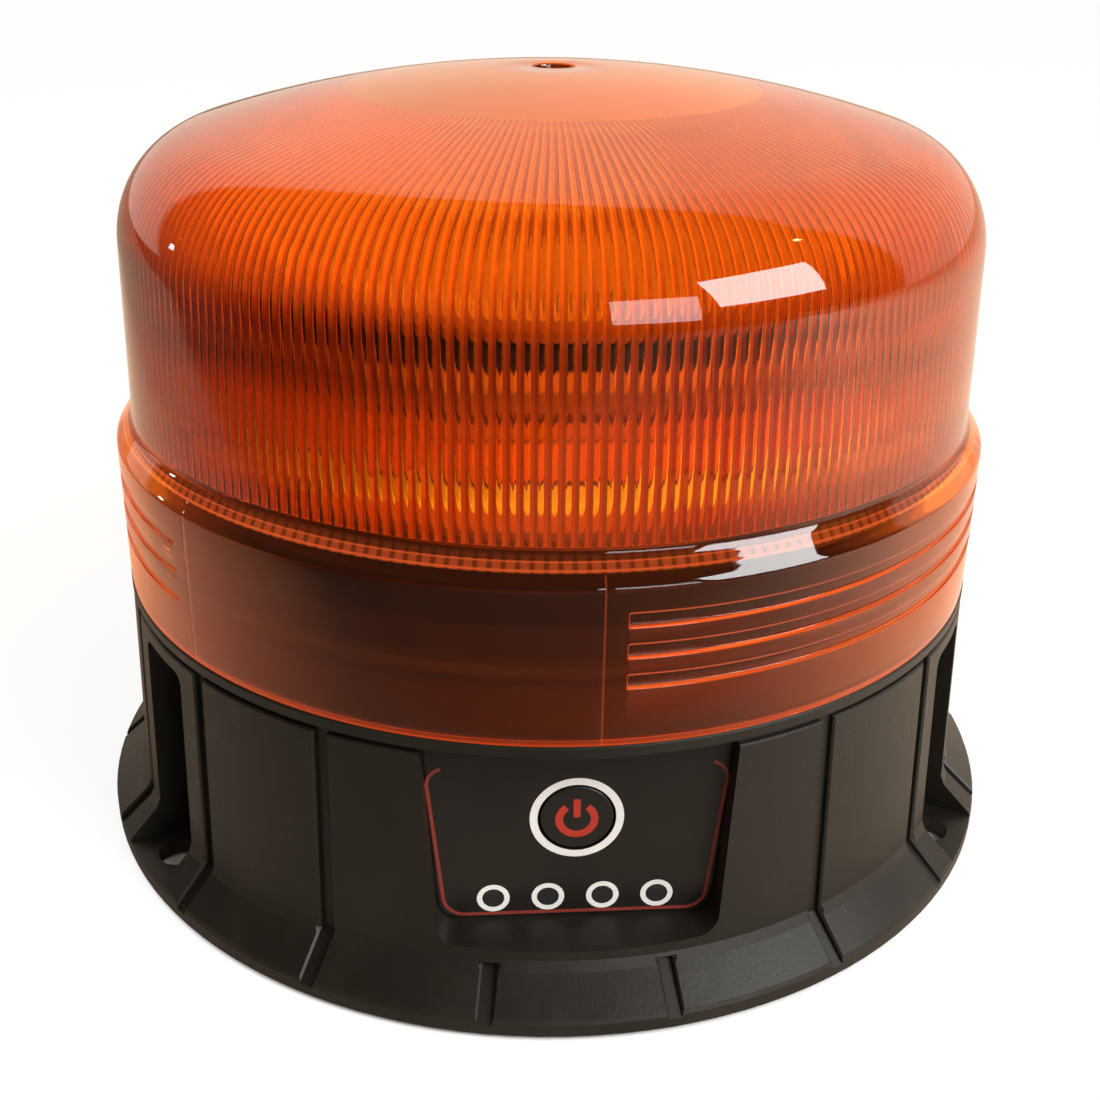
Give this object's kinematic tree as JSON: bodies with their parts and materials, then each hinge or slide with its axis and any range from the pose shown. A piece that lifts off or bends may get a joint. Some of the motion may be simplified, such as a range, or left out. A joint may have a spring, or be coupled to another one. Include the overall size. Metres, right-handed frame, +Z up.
{
  "type": "magnetic warning light",
  "caption": "Round amber warning beacon: internally fluted lens over a black base with keypad, battery gauge, bolt pockets, magnetic foot and hinged charging cover.",
  "frame": {"origin": "centre of the pad's contact face, on the lens axis", "axes": "+Z up along the lens axis, keypad facing -Y"},
  "size_m": [0.15, 0.15, 0.117],
  "materials": {
    "amber_lens": "clear amber polycarbonate, polished outside, fluted inside",
    "seal_rubber": "moulded rubber ring",
    "base_plastic": "satin moulded black plastic",
    "inner_plastic": "moulded black plastic",
    "deck_white": "white moulded plastic that throws the light outwards",
    "pad_rubber": "matt non-scratch rubber",
    "screw_steel": "zinc plated",
    "yoke_steel": "cut steel plate",
    "magnet": "sintered magnet, grey",
    "cell_wrap": "heat-shrunk film over the can",
    "nickel": "nickel strip",
    "green_board": "solder mask on glass fibre",
    "white_board": "white solder mask",
    "core_metal": "extruded heat sink",
    "emitter": "phosphor under clear resin",
    "inductor": "ferrite",
    "capacitor_can": "bare can",
    "plug_plastic": "moulded natural nylon",
    "overlay_film": "printed satin film",
    "key_film": "printed satin film over a moulded key",
    "plunger": "moulded plastic",
    "light_pipe": "smoked clear resin",
    "indicator_led": "clear resin",
    "lead_sleeve": "wire sleeve"
  },
  "bodies": {
    "base": {"dome_lens": "amber_lens", "lens_seal": "seal_rubber", "base_housing": "base_plastic", "bottom_cover": "base_plastic", "battery_tray": "inner_plastic", "key_switch": "inner_plastic", "driver_chip": "inner_plastic", "charge_socket": "inner_plastic", "led_deck": "deck_white", "magnet_pad": "pad_rubber", "cover_screws": "screw_steel", "tray_screws": "screw_steel", "board_screws": "screw_steel", "keypad_screws": "screw_steel", "deck_screws": "screw_steel", "lens_screws": "screw_steel", "tower_screws": "screw_steel", "top_board_screws": "screw_steel", "cover_hinge_pin": "screw_steel", "magnet_yoke": "yoke_steel", "magnets": "magnet", "battery_cells": "cell_wrap", "battery_contacts": "nickel", "socket_pin": "nickel", "main_board": "green_board", "keypad_board": "green_board", "led_side_boards": "white_board", "led_top_board": "white_board", "led_tower": "core_metal", "led_side_emitters": "emitter", "led_top_emitters": "emitter", "power_inductor": "inductor", "capacitors": "capacitor_can", "board_plugs": "plug_plastic", "keypad_overlay": "overlay_film", "indicator_light_pipes": "light_pipe", "indicator_leds": "indicator_led", "led_leads": "lead_sleeve"},
    "power_key": {"power_key": "key_film", "switch_plunger": "plunger"},
    "charge_cover": {"charge_cover": "base_plastic"}
  },
  "joints": [
    {"name": "power_key_press", "type": "slide", "parent": "base", "child": "power_key", "axis": [0, 1, 0], "range_m": [0, 0.0005], "stiffness_N_per_m": 4000},
    {"name": "charge_cover_hinge", "type": "hinge", "parent": "base", "child": "charge_cover", "pos_m": [0.04397, 0.0524, 0.0339], "axis": [0.766, -0.6428, 0], "range_deg": [0, 105]}
  ]
}
